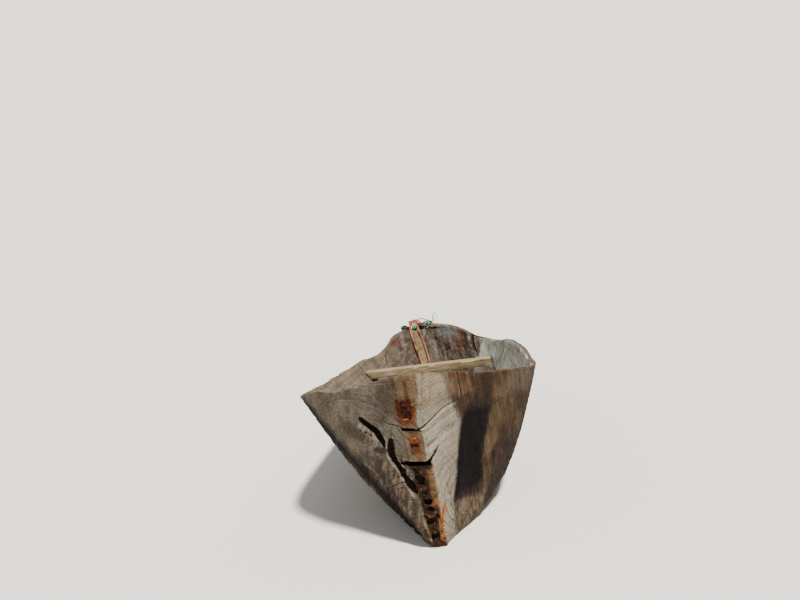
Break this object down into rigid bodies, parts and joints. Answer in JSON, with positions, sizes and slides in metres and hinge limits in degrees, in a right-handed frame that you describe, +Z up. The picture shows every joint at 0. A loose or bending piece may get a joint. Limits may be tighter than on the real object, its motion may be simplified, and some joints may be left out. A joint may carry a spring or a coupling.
{
  "type": "dugout canoe",
  "caption": "Weathered one-log dugout canoe with a hewn hollow hull, repaired stem, loose thwart board and a rope lashing at the bow.",
  "frame": {"origin": "on the ground under the middle of the hull", "axes": "+Y along the hull towards the end with the rope lashing, +X to the right, +Z up"},
  "size_m": [1, 4, 0.664],
  "materials": {
    "weathered_wood": "grey weathered bare wood with rust and tar stains",
    "stained_wood": "brown bare wood, stained by rusting spikes",
    "board_wood": "pale bleached sawn board",
    "rusty_iron": "flaking rust",
    "orange_rope": "faded salmon orange laid rope",
    "green_twine": "faded green net twine",
    "dark_twine": "dark green twine"
  },
  "bodies": {
    "root": {"hull": "weathered_wood", "stem_block_upper": "stained_wood", "stem_block_lower": "stained_wood", "stem_spike_upper_left": "rusty_iron", "stem_spike_upper_right": "rusty_iron", "stem_spike_lower": "rusty_iron", "thwart": "board_wood", "painter_lashing": "orange_rope", "net_tie": "green_twine", "twine_tangle": "dark_twine"}
  },
  "joints": []
}
